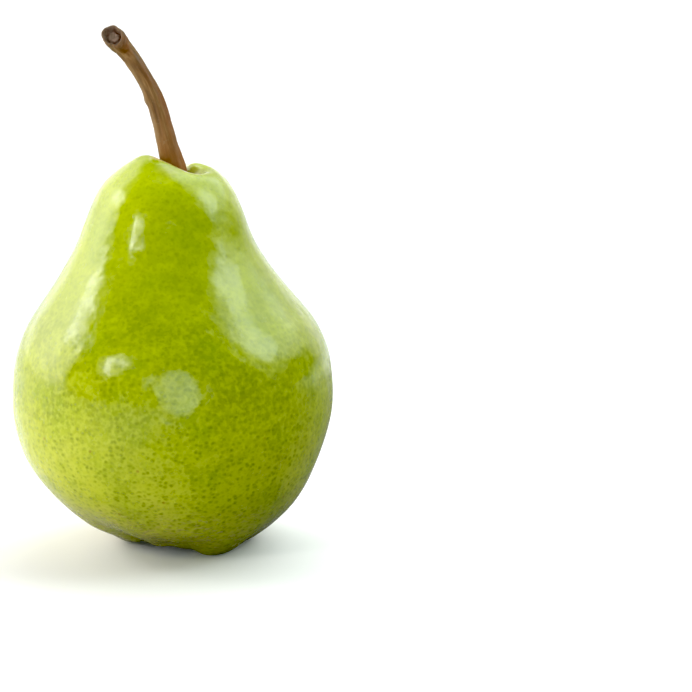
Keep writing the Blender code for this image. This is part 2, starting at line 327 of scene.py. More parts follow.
def turned_mesh(name, profile, sides):
    """A closed mesh turned round Z from (radius, height) points that run down its outer side."""
    angles = [math.tau * i / sides for i in range(sides)]
    rings = []
    for radius, height in profile[1:-1]:
        rings.append([Vector((radius * math.cos(a), radius * math.sin(a), height)) for a in angles])
    return ring_mesh(name, rings, Vector((0.0, 0.0, profile[0].y)), Vector((0.0, 0.0, profile[-1].y)))


def piece(name, mesh, material):
    """A new object of the scene with that mesh and material."""
    obj = bpy.data.objects.new(name, mesh)
    mesh.materials.append(material)
    bpy.context.scene.collection.objects.link(obj)
    return obj


def fold_foot(point, normal, azimuth, radius):
    """Presses the folds between the lobes of the foot into the skin."""
    depth = 0.0
    for centre, width, fold_depth, top in FOOT_FOLDS:
        across = bump(math.radians(width), turned_by(azimuth, math.radians(centre)))
        depth += fold_depth * MM * across * (1.0 - smoothstep(0.0, top * MM, point.z))
    return point - normal * depth * smoothstep(FOLD_INNER, FOLD_OUTER, radius)


def shape_shoulder(point, azimuth, radius):
    """Raises the lobes beside the stem and cuts the crease that runs past its front."""
    high = smoothstep(SHOULDER_BOTTOM, SHOULDER_TOP, point.z)
    ring = smoothstep(LOBE_INNER, LOBE_PEAK, radius) * (1.0 - smoothstep(LOBE_PEAK, LOBE_OUTER, radius))
    rise = 0.0
    for centre, width, height in SHOULDER_LOBES:
        rise += height * MM * ring * bump(math.radians(width), turned_by(azimuth, math.radians(centre)))
    behind = point.y - CREASE_Y
    width = CREASE_BACK if behind > 0 else CREASE_FRONT
    reach = smoothstep(CREASE_LEFT, CREASE_START, point.x)
    reach *= 1.0 - smoothstep(CREASE_FADE, CREASE_END, point.x)
    cut = CREASE_DEPTH * bump(width, behind) * reach
    return point + Vector((0.0, 0.0, high * (rise - cut)))


def lean(point, radius):
    """Moves the middle of each ring sideways, which makes the fruit lean."""
    side = FOOT_OFFSET * (1.0 - smoothstep(0.0, FOOT_TOP, point.z))
    side += NECK_OFFSET * smoothstep(NECK_BOTTOM, NECK_TOP, point.z)
    seat = smoothstep(SHOULDER_BOTTOM, SHOULDER_TOP, point.z) * (1.0 - smoothstep(0.0, SEAT_REACH, radius))
    return point + Vector((side + SEAT_OFFSET * seat, 0.0, 0.0))


def sculpted(point, normal):
    """Where a point of the turned fruit goes."""
    radius = math.hypot(point.x, point.y)
    azimuth = math.atan2(point.y, point.x)
    oval = OVAL_SHARE * math.cos(2 * (azimuth - OVAL_AZIMUTH))
    fade = smoothstep(0.0, SWELL_BOTTOM, point.z)
    swell = SWELL_DEPTH * noise.noise(point / SWELL_SIZE) * fade
    swell += DENT_DEPTH * noise.noise(point / DENT_SIZE) * fade
    outward = Vector((point.x, point.y, 0.0)) * oval
    moved = fold_foot(point, normal, azimuth, radius)
    moved = shape_shoulder(moved, azimuth, radius)
    return lean(moved + outward + normal * swell, radius)


def make_fruit(material):
    """The fruit, turned round Z, sculpted, and flattened a little where its lobes rest on the floor."""
    stations = [Vector((radius, height)) * MM for radius, height in OUTLINE]
    over_top = Vector((-stations[1].x, stations[1].y))
    over_foot = Vector((-stations[-2].x, stations[-2].y))
    profile = eased(smooth_line(stations, OUTLINE_STEPS, over_top, over_foot), OUTLINE_EASES)
    mesh = turned_mesh("pear_skin", profile, FRUIT_SIDES)
    normals = [vertex.normal.copy() for vertex in mesh.vertices]
    for vertex, normal in zip(mesh.vertices, normals):
        vertex.co = sculpted(vertex.co.copy(), normal)
    floor = min(vertex.co.z for vertex in mesh.vertices) + PRESSED
    for vertex in mesh.vertices:
        vertex.co.z = max(vertex.co.z - floor, 0.0)
    fruit = piece("pear_fruit", mesh, material)
    smooth = fruit.modifiers.new("smooth", "SUBSURF")
    smooth.levels = smooth.render_levels = FRUIT_SUBDIVISIONS
    return fruit


def stem_surface(azimuth, along, height, radius):
    """The stem's radius at an azimuth and a distance along it."""
    round_it = Vector((math.cos(azimuth), math.sin(azimuth), 0.0))
    root = 1.0 - smoothstep(ROOT_TOP, ROOT_END, height)
    rise = STEM_RIDGE_DEPTH * math.cos(STEM_RIDGES * azimuth)
    for depth, times_at_root, length, fineness, apart in BARK_FORMS:
        uneven = noise.noise(round_it * fineness + Vector((*apart, along / length)))
        rise += depth * (1.0 + (times_at_root - 1.0) * root) * uneven
    near = bump(NODULE_SIZE, height - NODULE_HEIGHT)
    rise += NODULE_RISE * near * bump(NODULE_SPREAD, turned_by(azimuth, NODULE_AZIMUTH))
    return radius + rise


def stem_directions(line, i):
    """Where the stem's middle line heads at a station, and two directions square to it."""
    before = line[max(i - 1, 0)].xyz
    after = line[min(i + 1, len(line) - 1)].xyz
    tangent = (after - before).normalized()
    across = Vector((0.0, 1.0, 0.0)).cross(tangent).normalized()
    return tangent, across, tangent.cross(across)


def stem_rings(line):
    """Rings of corners along the stem, and where each corner would be on a straight, upright stem."""
    rings = []
    straight = []
    along = 0.0
    angles = [math.tau * i / STEM_SIDES for i in range(STEM_SIDES)]
    for i, station in enumerate(line):
        _, across, depth = stem_directions(line, i)
        along += (station.xyz - line[max(i - 1, 0)].xyz).length
        ring = []
        upright = []
        for angle in angles:
            outward = across * math.cos(angle) + depth * math.sin(angle)
            azimuth = math.atan2(outward.y, outward.x)
            radius = stem_surface(azimuth, along, station.z, station.w)
            ring.append(station.xyz + outward * radius)
            upright.append((math.cos(azimuth) * radius, math.sin(azimuth) * radius, along))
        rings.append(ring)
        straight.append(upright)
    return rings, straight


def slanted(rings, line, tangent):
    """The rings with one side drawn back, the more the nearer they are to the cut end."""
    end = line[-1]
    slant = (CUT_BACK - tangent * CUT_BACK.dot(tangent)).normalized()
    moved = []
    for ring, station in zip(rings, line):
        near = smoothstep(CUT_FADE, 0.0, (ring[0] - end.xyz).length - end.w)
        back = tangent * CUT_SLANT * near
        moved.append([corner - back * (end.w - (corner - station.xyz).dot(slant)) for corner in ring])
    return moved


def cut_rings(rim, middle, tangent, along):
    """Rings from the rim of the cut end to its middle, and their places on a straight stem."""
    rings = []
    straight = []
    for share, rise in CUT_PROFILE:
        ring = []
        upright = []
        for corner in rim:
            uneven = CUT_UNEVEN * noise.noise(corner * share / CUT_UNEVEN_SIZE)
            uneven *= 1.0 - share * CUT_RIM_EVENER
            ring.append(middle + (corner - middle) * share + tangent * (rise * MM + uneven))
            upright.append((*((corner - middle) * share).xy, along + rise * MM))
        rings.append(ring)
        straight.append(upright)
    return rings, straight


def flipped(rows):
    """The rows from the last to the first, each one reversed."""
    return [row[::-1] for row in reversed(rows)]


def face_outward(mesh):
    shape = bmesh.new()
    shape.from_mesh(mesh)
    bmesh.ops.recalc_face_normals(shape, faces=shape.faces)
    shape.to_mesh(mesh)
    shape.free()


def make_stem(material, shift):
    """The stem, from its cut end down to its root.

    Its mesh also holds two values for the bark's material: where each point would be on a straight stem,
    and how far it is from the rim of the cut towards its middle.
    """
    line = smooth_line([Vector(values) * MM for values in STEM_LINE], STEM_STEPS)
    tangent = stem_directions(line, len(line) - 1)[0]
    rings, straight = stem_rings(line)
    rings = slanted(rings, line, tangent)
    length = straight[-1][0][2]
    middle = sum(rings[-1], Vector()) / STEM_SIDES
    wood = [[0.0] * STEM_SIDES for _ in rings]
    wood += [[1.0 - share] * STEM_SIDES for share, _ in CUT_PROFILE]
    cut, cut_straight = cut_rings(rings[-1], middle, tangent, length)
    tip = middle + tangent * CUT_MIDDLE_RISE
    mesh = ring_mesh("pear_stem", flipped(rings + cut), tip, line[0].xyz)
    places = [(0.0, 0.0, length), *chain.from_iterable(flipped(straight + cut_straight)), (0.0, 0.0, 0.0)]
    attribute = mesh.attributes.new("straight", "FLOAT_VECTOR", "POINT")
    attribute.data.foreach_set("vector", list(chain.from_iterable(places)))
    attribute = mesh.attributes.new("cut", "FLOAT", "POINT")
    attribute.data.foreach_set("value", [1.0, *chain.from_iterable(flipped(wood)), 0.0])
    face_outward(mesh)
    mesh.transform(Matrix.Translation(shift))
    return piece("pear_stem", mesh, material)


def sepal_share(azimuth):
    """How far the calyx reaches at an azimuth: 1 at a sepal's tip and SEPAL_NOTCH between two."""
    sector = math.tau / SEPALS
    away = abs(turned_by(azimuth * SEPALS, SEPAL_TURN * SEPALS)) / SEPALS
    return SEPAL_NOTCH + (1.0 - SEPAL_NOTCH) * (1.0 - away / (sector / 2))


def basin_middle():
    """How far the lean of the fruit moves the middle of the basin."""
    seat = Vector((0.0, 0.0, CALYX_SEAT))
    return lean(seat, 0.0) - seat


def calyx_profile():
    """Radius and height down the calyx: its root, its disc with the wide rim of the sepals, and its tuft."""
    under = CALYX_SEAT - CALYX_THICKNESS
    root = CALYX_SEAT + CALYX_ROOT_RISE
    rings = [CALYX_ROOT_RADIUS, CALYX_DISC_RADIUS]
    rings += [CALYX_DISC_RADIUS + SEPAL_LENGTH * step / SEPAL_RINGS for step in range(1, SEPAL_RINGS + 1)]
    profile = [Vector((0.0, root)), Vector((CALYX_ROOT_RADIUS, root))]
    profile += [Vector((radius, CALYX_SEAT)) for radius in rings]
    profile += [Vector((radius, under)) for radius in reversed(rings)]
    profile += [Vector((CALYX_TUFT_RADIUS, under - CALYX_TUFT_DROP / 2))]
    profile += [Vector((0.0, under - CALYX_TUFT_DROP))]
    return profile


def flat_noise(point, size):
    """Noise that is the same at every height."""
    return noise.noise(Vector((point.x, point.y, 0.0)) / size)


def drawn_out(point):
    """Where a point of the calyx goes as its rim is drawn out into sepals that droop and curl."""
    azimuth = math.atan2(point.y, point.x)
    radius = math.hypot(point.x, point.y)
    if radius <= CALYX_DISC_RADIUS:
        return point
    drawn = CALYX_DISC_RADIUS + (radius - CALYX_DISC_RADIUS) * sepal_share(azimuth)
    share = (drawn - CALYX_DISC_RADIUS) / SEPAL_LENGTH
    drop = (SEPAL_DROOP + SEPAL_UNEVEN * math.sin(2 * azimuth)) * share**DROOP_POWER
    curl = SEPAL_CURL * share * flat_noise(point, SEPAL_CURL_SIZE)
    scale = drawn / radius
    return Vector((point.x * scale, point.y * scale, point.z - drop + curl))


def make_calyx(material, shift):
    mesh = turned_mesh("pear_calyx", calyx_profile(), CALYX_SIDES)
    for vertex in mesh.vertices:
        vertex.co = drawn_out(vertex.co.copy())
        vertex.co.z += CRINKLE * flat_noise(vertex.co, CRINKLE_SIZE)
    mesh.transform(Matrix.Translation(basin_middle() + shift))
    return piece("pear_calyx", mesh, material)


def scattered(i, stride, least):
    """A value from least to 1 for each whole number, spread evenly but in no plain order."""
    return least + (1.0 - least) * ((i * stride) % 1.0)


def add_stamen(shape, i):
    """Adds one thin, bent and tapered thread."""
    turn = math.tau * i / STAMENS * STAMEN_TURNS
    spread = scattered(i, SPREAD_STRIDE, STAMEN_SPREAD)
    length = STAMEN_LENGTH * scattered(i, LENGTH_STRIDE, STAMEN_SHORTEST)
    under = CALYX_SEAT - CALYX_THICKNESS - CALYX_TUFT_DROP / 2
    outward = Vector((math.cos(turn), math.sin(turn), 0.0))
    sideways = outward.cross(UP)
    over = UP.lerp(outward, 0.5).normalized()
    foot = outward * CALYX_TUFT_RADIUS * STAMEN_RING * spread + UP * (under + STAMEN_SINK)
    tip = foot + outward * length * spread - UP * length * (STAMEN_DROP - STAMEN_LIFT * spread)
    middle = (foot + tip) / 2 + sideways * length * STAMEN_BEND
    rings = []
    for step in range(STAMEN_STEPS + 1):
        share = step / STAMEN_STEPS
        point = bezier_point(foot, foot.lerp(middle, 0.9), middle.lerp(tip, 0.3), tip, share)
        radius = STAMEN_RADIUS * (1.0 - STAMEN_TAPER * share)
        ring = []
        for side in range(STAMEN_SIDES):
            angle = math.tau * side / STAMEN_SIDES
            away = sideways * math.cos(angle) + over * math.sin(angle)
            ring.append(shape.verts.new(point + away * radius))
        rings.append(ring)
    for low, high in zip(rings, rings[1:]):
        for side in range(STAMEN_SIDES):
            after = (side + 1) % STAMEN_SIDES
            shape.faces.new((low[side], low[after], high[after], high[side]))
    shape.faces.new(rings[0][::-1])
    shape.faces.new(rings[-1])


def make_stamens(material, shift):
    """All the threads, as one piece."""
    shape = bmesh.new()
    for i in range(STAMENS):
        add_stamen(shape, i)
    bmesh.ops.recalc_face_normals(shape, faces=shape.faces)
    mesh = bpy.data.meshes.new("pear_stamens")
    shape.to_mesh(mesh)
    shape.free()
    mesh.shade_smooth()
    mesh.transform(Matrix.Translation(basin_middle() + shift))
    return piece("pear_stamens", mesh, material)


class Graph:
    """Builds the nodes of a material or world. Every value may be a number, a colour or a node's output."""

    def __init__(self, name, kind):
        self.owner = kind.new(name)
        self.owner.use_nodes = True
        self.tree = self.owner.node_tree

    def give(self, socket, value):
        if isinstance(value, bpy.types.NodeSocket):
            self.tree.links.new(value, socket)
        else:
            socket.default_value = value

    def finish(self, shader, inputs):
        """Gives the shader its values, and returns the finished material or world."""
        for name, value in inputs.items():
            self.give(self.tree.nodes[shader].inputs[name], value)
        return self.owner

    def add(self, kind, inputs, **settings):
        new = self.tree.nodes.new(kind)
        for name, value in settings.items():
            setattr(new, name, value)
        for name, value in inputs.items():
            self.give(new.inputs[name], value)
        return new

    def position(self):
        return self.add("ShaderNodeTexCoord", {}).outputs["Object"]

    def attribute(self, name, output):
        return self.add("ShaderNodeAttribute", {}, attribute_name=name).outputs[output]

    def seen(self):
        """1 where the camera looks straight at the surface, and 0 for the light that it throws."""
        return self.add("ShaderNodeLightPath", {}).outputs["Is Camera Ray"]

    def axis(self, vector, name):
        return self.add("ShaderNodeSeparateXYZ", {0: vector}).outputs[name]

    def vector_math(self, operation, first, second, output="Vector"):
        return self.add("ShaderNodeVectorMath", {0: first, 1: second}, operation=operation).outputs[output]

    def stretched(self, vector, x, y, z):
        return self.vector_math("MULTIPLY", vector, (x, y, z))

    def moved(self, vector, x, y, z):
        return self.vector_math("ADD", vector, (x, y, z))

    def distance(self, vector, point):
        return self.vector_math("DISTANCE", vector, point, "Value")

    def math(self, operation, first, second):
        return self.add("ShaderNodeMath", {0: first, 1: second}, operation=operation).outputs[0]

    def times(self, *values):
        result = values[0]
        for value in values[1:]:
            result = self.math("MULTIPLY", result, value)
        return result

    def plus(self, *values):
        result = values[0]
        for value in values[1:]:
            result = self.math("ADD", result, value)
        return result

    def step(self, value, low, high, start=0.0, end=1.0):
        """A smooth change from start to end while the value goes from low to high."""
        inputs = {"Value": value, "From Min": low, "From Max": high, "To Min": start, "To Max": end}
        return self.add("ShaderNodeMapRange", inputs, interpolation_type="SMOOTHSTEP").outputs["Result"]

    def noise(self, vector, size, detail=2.0, roughness=0.5):
        """Soft noise from 0 to 1 with lumps of about that size."""
        inputs = {"Vector": vector, "Scale": 1.0 / size, "Detail": detail, "Roughness": roughness}
        return self.add("ShaderNodeTexNoise", inputs).outputs["Fac"]

    def cells(self, vector, size, scatter=1.0):
        """The distance to the nearest of random points about that size apart, as a share of the size."""
        inputs = {"Vector": vector, "Scale": 1.0 / size, "Randomness": scatter}
        return self.add("ShaderNodeTexVoronoi", inputs).outputs["Distance"]

    def mix(self, share, first, second):
        """A mix of two colours, which are inputs 6 and 7 and output 2 of the node."""
        new = self.add("ShaderNodeMix", {}, data_type="RGBA")
        self.give(new.inputs[0], share)
        self.give(new.inputs[6], first)
        self.give(new.inputs[7], second)
        return new.outputs[2]

    def ramp(self, value, stops):
        """Colours at the given values, with an even change between them."""
        new = self.add("ShaderNodeValToRGB", {0: value})
        elements = new.color_ramp.elements
        for element, (place, tint) in zip(elements, stops[:2]):
            element.position = place
            element.color = tint
        for place, tint in stops[2:]:
            elements.new(place).color = tint
        return new.outputs["Color"]

    def bumps(self, height_mm):
        inputs = {"Height": height_mm, "Distance": MM, "Strength": 1.0}
        return self.add("ShaderNodeBump", inputs).outputs["Normal"]


def color(red, green, blue):
    return (red, green, blue, 1.0)


# Colours of the skin, from the foot to the shoulder, each with its height as a share of SKIN_TOP.
# They hold painted shade, darker through the middle of the body, over the skin's own yellower lower body and
# greener neck
SKIN_TOP = 100 * MM
SKIN_COLORS_WITH_PAINTED_SHADE = (
    (0.0, color(0.40, 0.34, 0.080)),
    (0.08, color(0.55, 0.50, 0.090)),
    (0.22, color(0.54, 0.54, 0.050)),
    (0.42, color(0.285, 0.312, 0.004)),
    (0.60, color(0.240, 0.284, 0.002)),
    (0.85, color(0.322, 0.370, 0.002)),
    (1.0, color(0.37, 0.44, 0.004)),
)

# Places of the russet: the seat of the stem, and the basin, which is measured with heights squeezed
SEAT_MIDDLE = Vector((3.5, -1.0, 92.5)) * MM
BASIN_MIDDLE = Vector((2.8, 0.0, 3.0)) * MM
BASIN_SQUEEZE = 0.6

# The lip in front of the stem, and the middle of the patch under it
LIP_START = Vector((-3.6, -5.2, 97.0)) * MM
LIP_END = Vector((6.6, -5.8, 93.0)) * MM
LIP_PATCH = Vector((0.0, -8.0, 92.5)) * MM


def skin_green(g, at, height):
    """Green with painted shade through the middle of the body, broad and small patches of a yellower and a
    deeper one, and a pale network low down.
    """
    # painted shade: the ramp by height darkens the middle of the body against the lower body
    base = g.ramp(g.math("DIVIDE", height, SKIN_TOP), SKIN_COLORS_WITH_PAINTED_SHADE)
    broad = g.noise(at, 24 * MM, 2.0)
    base = g.mix(g.step(broad, 0.42, 0.68, 0.0, 0.36), base, color(0.40, 0.455, 0.006))
    small = g.noise(g.stretched(at, 1.0, 1.0, 1.5), 7 * MM, 3.0)
    base = g.mix(g.step(small, 0.42, 0.66, 0.0, 0.34), base, color(0.42, 0.47, 0.010))
    deep = g.noise(g.moved(at, 0.4, 0.1, 0.2), 11 * MM, 2.0)
    base = g.mix(g.step(deep, 0.48, 0.70, 0.0, 0.45), base, color(0.21, 0.28, 0.002))
    network = g.step(g.noise(at, 1.3 * MM, 2.0), 0.4, 0.62)
    network = g.times(network, g.step(height, 68 * MM, 28 * MM, 0.17, 0.54))
    return g.mix(network, base, color(0.51, 0.53, 0.050))


def skin_dots(g, at, height, base):
    """Dots of darker green, finer ones between them, and a few dark spots and reddish specks.

    The dots are about 0.8 mm across and 1.4 mm apart, and fainter on the neck. Besides the colour, it
    returns where the dots and the finer ones are.
    """
    low = g.step(height, 72 * MM, 48 * MM)
    wobble = g.times(g.plus(g.noise(at, 0.7 * MM, 1.0), -0.5), 0.35)
    away = g.plus(g.cells(g.stretched(at, 1.0, 1.0, 1.15), 1.4 * MM, 0.85), wobble)
    uneven = g.step(g.noise(at, 2.2 * MM, 1.0), 0.36, 0.60, 0.55, 1.0)
    dots = g.times(g.step(away, 0.60, 0.04), g.plus(0.38, g.times(low, 0.42)), uneven)
    base = g.mix(dots, base, color(0.195, 0.235, 0.002))
    fine = g.step(g.cells(g.moved(at, 0.31, 0.12, 0.05), 0.95 * MM), 0.48, 0.10)
    base = g.mix(g.times(fine, 0.24), base, color(0.165, 0.22, 0.003))
    spots = g.step(g.cells(g.moved(at, 0.05, 0.22, 0.4), 4.5 * MM), 0.06, 0.03)
    base = g.mix(g.times(spots, 0.32), base, color(0.09, 0.13, 0.01))
    specks = g.step(g.cells(g.moved(at, 0.7, 0.3, 0.1), 7.5 * MM), 0.080, 0.030)
    specks = g.times(specks, g.step(height, 50 * MM, 35 * MM))
    base = g.mix(g.times(specks, 0.5), base, color(0.26, 0.11, 0.02))
    return base, dots, fine


def skin_cork(g, at, height, grain, base):
    """Corky netting round the foot, and russet in the basin and at the seat of the stem.

    Besides the colour, it returns where the netting and the basin's russet are.
    """
    foot = g.step(height, 20 * MM, 7 * MM)
    lines = g.noise(g.stretched(at, 0.45, 0.45, 1.6), 0.75 * MM, 3.0, 0.6)
    net = g.times(g.step(lines, 0.49, 0.64), foot, g.step(g.noise(at, 6 * MM), 0.34, 0.58))
    base = g.mix(g.times(net, 0.7), base, color(0.50, 0.40, 0.16))
    off_basin = g.distance(g.stretched(at, 1.0, 1.0, BASIN_SQUEEZE), BASIN_MIDDLE)
    russet = g.times(g.step(g.plus(off_basin, g.times(grain, 6 * MM)), 16 * MM, 7 * MM), 0.75)
    base = g.mix(russet, base, color(0.20, 0.13, 0.04))
    off_seat = g.plus(g.distance(at, SEAT_MIDDLE), g.times(grain, 4 * MM))
    base = g.mix(g.times(g.step(off_seat, 8.5 * MM, 3 * MM), 0.7), base, color(0.33, 0.26, 0.08))
    return base, net, russet


def skin_lip(g, at, grain, base):
    """A tan edge along the lip in front of the stem, and an olive-brown patch under it."""
    from_start = g.vector_math("SUBTRACT", at, LIP_START)
    along = g.vector_math("PROJECT", from_start, LIP_END - LIP_START)
    off_lip = g.plus(g.distance(from_start, along), g.times(grain, 1.6 * MM))
    off_middle = g.distance(at, (LIP_START + LIP_END) / 2)
    edge = g.times(g.step(off_lip, 2.5 * MM, 1.1 * MM), g.step(off_middle, 7.2 * MM, 4.5 * MM))
    edge = g.times(edge, g.step(g.noise(at, 1.6 * MM, 3.0), 0.34, 0.58, 0.45, 1.0))
    base = g.mix(g.times(edge, 0.85), base, color(0.66, 0.48, 0.25))
    off_patch = g.plus(g.distance(at, LIP_PATCH), g.times(grain, 3 * MM))
    return g.mix(g.times(g.step(off_patch, 6 * MM, 2.5 * MM), 0.35), base, color(0.30, 0.24, 0.03))


def skin_material():
    g = Graph("pear_skin", bpy.data.materials)
    at = g.position()
    height = g.axis(at, "Z")
    grain = g.noise(at, 1.1 * MM, 4.0, 0.7)
    base = skin_green(g, at, height)
    base, dots, fine = skin_dots(g, at, height, base)
    base, net, russet = skin_cork(g, at, height, grain, base)
    base = skin_lip(g, at, grain, base)
    gloss = g.step(g.noise(at, 3.5 * MM, 3.0), 0.3, 0.7, 0.16, 0.28)
    pores = g.times(g.plus(g.times(fine, 0.5), g.times(dots, 0.4)), -0.008)
    small_waves = g.times(g.noise(at, 1.3 * MM, 2.0), 0.05)
    broad_waves = g.times(g.noise(at, 4.5 * MM, 1.0), 0.34)
    cork = g.times(g.plus(net, russet), g.times(grain, 0.12))
    inputs = {
        "Base Color": base,
        "Roughness": g.plus(gloss, g.times(dots, 0.06), g.times(russet, 0.4)),
        "Normal": g.bumps(g.plus(pores, small_waves, broad_waves, cork)),
        "IOR": 1.45,
        "Specular IOR Level": 0.35,
        "Coat Weight": 0.30,
        "Coat Roughness": 0.10,
        "Coat IOR": 1.45,
    }
    return g.finish("Principled BSDF", inputs)


# Colours of the bark's streaks, from its dark furrows to its pale ridges
BARK_COLORS = (
    (0.32, color(0.095, 0.048, 0.021)),
    (0.50, color(0.215, 0.108, 0.042)),
    (0.72, color(0.36, 0.215, 0.10)),
)

# Colours of the stem's cut end, from its rim at 0 to its middle at 1
CUT_COLORS = (
    (0.10, color(0.21, 0.14, 0.09)),
    (0.32, color(0.12, 0.068, 0.045)),
    (0.50, color(0.085, 0.038, 0.026)),
    (0.66, color(0.25, 0.16, 0.12)),
    (1.00, color(0.26, 0.165, 0.12)),
)

# Distances along the stem from its root: the bark is warmer up to the first two, and greyer from the last two
WARM_FULL_TO = 6 * MM
WARM_END = 26 * MM
GREY_START = 41.5 * MM
GREY_FULL_FROM = 45.5 * MM


def bark_tints(g, straight, scuff, base):
    """A redder side, an olive one, a warm root, pale scuffs and a greyer end."""
    side = g.axis(straight, "X")
    along = g.axis(straight, "Z")
    tint = g.noise(g.stretched(straight, 1.0, 1.0, 0.35), 3.0 * MM, 2.0)
    red = g.times(g.step(side, -0.5 * MM, 2 * MM), g.step(tint, 0.38, 0.6))
    base = g.mix(g.times(red, 0.85), base, color(0.235, 0.09, 0.030))
    warm = g.times(g.step(along, WARM_END, WARM_FULL_TO), 0.5)
    base = g.mix(warm, base, color(0.31, 0.125, 0.042))
    olive = g.times(g.step(side, 0.0, -2 * MM), g.step(tint, 0.35, 0.6))
    base = g.mix(g.times(olive, 0.45), base, color(0.28, 0.205, 0.115))
    base = g.mix(g.step(scuff, 0.58, 0.72, 0.0, 0.35), base, color(0.33, 0.24, 0.14))
    grey = g.times(g.step(along, GREY_START, GREY_FULL_FROM), g.step(scuff, 0.35, 0.6, 0.3, 0.8))
    return g.mix(grey, base, color(0.19, 0.125, 0.082))


def cut_wood(g, at, base):
    """Broken rings of brown on the cut end, with a ragged edge to the bark."""
    ragged = g.times(g.plus(g.noise(at, 1.1 * MM, 4.0, 0.65), -0.5), 0.75)
    inward = g.plus(g.attribute("cut", "Fac"), ragged)
    mottle = g.noise(g.moved(at, 0.2, 0.5, 0.1), 1.3 * MM, 3.0, 0.6)
    wood = g.mix(g.step(mottle, 0.42, 0.62, 0.0, 0.8), g.ramp(inward, CUT_COLORS), color(0.15, 0.10, 0.07))
    return g.mix(g.step(inward, 0.08, 0.22), base, wood)


def bark_material():
    g = Graph("stem_bark", bpy.data.materials)
    at = g.position()
    straight = g.attribute("straight", "Vector")
    streaks = g.noise(g.stretched(straight, 1.0, 1.0, 0.10), 0.9 * MM, 4.0, 0.6)
    fibres = g.noise(g.stretched(straight, 1.0, 1.0, 0.06), 0.3 * MM, 2.0)
    scuff = g.noise(at, 1.6 * MM, 4.0, 0.7)
    base = g.ramp(streaks, BARK_COLORS)
    base = g.mix(g.step(fibres, 0.42, 0.62, 0.0, 0.35), base, color(0.13, 0.068, 0.022))
    base = bark_tints(g, straight, scuff, base)
    inputs = {
        "Base Color": cut_wood(g, at, base),
        "Roughness": g.step(streaks, 0.3, 0.7, 0.5, 0.72),
        "Normal": g.bumps(g.plus(g.times(streaks, 0.16), g.times(fibres, 0.08), g.times(scuff, 0.10))),
        "Specular IOR Level": 0.3,
    }
    return g.finish("Principled BSDF", inputs)


CALYX_COLORS = (
    (0.30, color(0.025, 0.015, 0.008)),
    (0.50, color(0.07, 0.042, 0.02)),
    (0.75, color(0.16, 0.10, 0.05)),
)


def calyx_material():
    g = Graph("dried_calyx", bpy.data.materials)
    at = g.position()
    grain = g.noise(at, 0.7 * MM, 4.0, 0.65)
    dust = g.step(g.noise(at, 2.0 * MM, 2.0), 0.5, 0.7, 0.0, 0.4)
    inputs = {
        "Base Color": g.mix(dust, g.ramp(grain, CALYX_COLORS), color(0.20, 0.16, 0.10)),
        "Roughness": g.step(grain, 0.3, 0.7, 0.7, 0.95),
        "Normal": g.bumps(g.times(grain, 0.18)),
    }
    return g.finish("Principled BSDF", inputs)


# The floor throws less light up at the right of the pear than at its left, except far behind the pear
FLOOR_SIZE = 30.0
FLOOR_DROP = 0.02 * MM  # keeps the floor just clear of the pear's foot
FLOOR_BRIGHT_TO = -130 * MM
FLOOR_DIM_FROM = 80 * MM
FLOOR_DIM_TO = 100 * MM
FLOOR_BRIGHT_FROM = 400 * MM
FLOOR_BOUNCE = (0.80, 0.13)  # share of the light that it throws back where it is bright and where it is dim


def make_floor():
    shape = bmesh.new()
    bmesh.ops.create_grid(shape, x_segments=1, y_segments=1, size=FLOOR_SIZE)
    mesh = bpy.data.meshes.new("floor")
    shape.to_mesh(mesh)
    shape.free()
    g = Graph("floor_white", bpy.data.materials)
    at = g.position()
    right = g.step(g.axis(at, "X"), FLOOR_BRIGHT_TO, FLOOR_DIM_FROM)
    near = g.step(g.axis(at, "Y"), FLOOR_DIM_TO, FLOOR_BRIGHT_FROM, 1.0, 0.0)
    bounce = g.step(g.times(right, near), 0.0, 1.0, *FLOOR_BOUNCE)
    inputs = {
        "Base Color": g.mix(g.seen(), bounce, color(0.885, 0.86, 0.865)),
        "Roughness": 0.6,
        "Specular IOR Level": 0.2,
    }
    floor = piece("studio_floor", mesh, g.finish("Principled BSDF", inputs))
    floor.location.z = -FLOOR_DROP


# The light tent, which the camera sees as plain white. Each patch of it is darker or brighter: the direction
# of its middle from the pear, the cosines of the angles from there where it ends and where it is full, and
# how bright it is, as a share of the rest
TENT_BRIGHT = 2.9
TENT_TILT = (1.03, 0.35)  # brightness at the far left and at the far right
TENT_PATCHES = (
    ((-0.06, -0.98, 0.10), 0.14, 0.36, 0.01),
    ((0.86, 0.30, -0.40), 0.70, 0.88, 0.02),
    ((-0.29, -0.34, 0.89), 0.67, 0.86, 0.09),
    ((0.00, 0.85, 0.53), 0.86, 0.96, 0.50),
    ((-0.62, 0.74, 0.25), 0.80, 0.94, 0.75),
    ((-0.88, 0.08, 0.47), 0.80, 0.97, 1.75),
    ((0.48, 0.23, 0.85), 0.71, 0.81, 2.55),
)
TENT_TINT = (0.90, 1.0, 0.97)  # of the last patch


def make_world():
    g = Graph("light_tent", bpy.data.worlds)
    direction = g.add("ShaderNodeTexCoord", {}).outputs["Generated"]
    seen = g.seen()
    unseen = g.math("SUBTRACT", 1.0, seen)
    left, right = TENT_TILT
    bright = g.step(g.axis(direction, "X"), -1.0, 1.0, TENT_BRIGHT * left, TENT_BRIGHT * right)
    for middle, edge, full, level in TENT_PATCHES:
        near = g.vector_math("DOT_PRODUCT", direction, Vector(middle).normalized(), "Value")
        bright = g.times(bright, g.step(near, edge, full, 1.0, level))
    in_last = g.step(near, edge, full)
    inputs = {
        "Color": g.mix(g.times(in_last, unseen), color(1.0, 1.0, 1.0), color(*TENT_TINT)),
        "Strength": g.plus(g.times(bright, unseen), seen),
    }
    bpy.context.scene.world = g.finish("Background", inputs)


